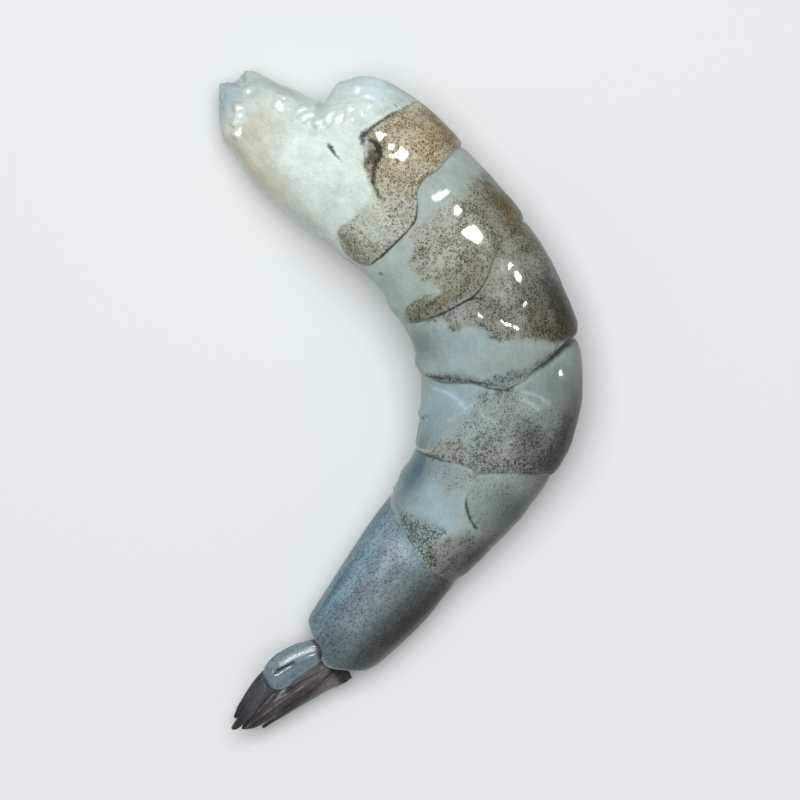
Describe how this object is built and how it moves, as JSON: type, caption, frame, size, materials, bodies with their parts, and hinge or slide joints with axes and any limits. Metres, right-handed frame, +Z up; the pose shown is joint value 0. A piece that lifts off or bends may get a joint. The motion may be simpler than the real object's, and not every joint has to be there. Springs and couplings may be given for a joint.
{
  "type": "raw peeled whiteleg shrimp",
  "caption": "Raw peeled shrimp with its tail shell and fan left on, curled and lying on its side: food that rests on a flat surface.",
  "frame": {"origin": "centre of the bounding box at its base, on the surface that the shrimp lies on", "axes": "+Z up through the flank that faces up, +Y towards the cut head end, -Y towards the tail fan, +X towards the back, -X towards the belly"},
  "size_m": [0.0456, 0.083, 0.0179],
  "materials": {
    "raw_flesh": "wet translucent raw flesh, milky at the cut end, bluish grey further back with brown speckled bands",
    "tail_cuticle": "wet smooth grey shell with fine dark dots over the last segment",
    "fan_cuticle": "wet thin slate grey plates of the tail fan, with mauve brown shading"
  },
  "bodies": {
    "root": {"flesh": "raw_flesh", "tail_shell": "tail_cuticle", "telson": "fan_cuticle", "uropod_outer_upper": "fan_cuticle", "uropod_inner_upper": "fan_cuticle", "uropod_outer_lower": "fan_cuticle", "uropod_inner_lower": "fan_cuticle"}
  },
  "joints": []
}
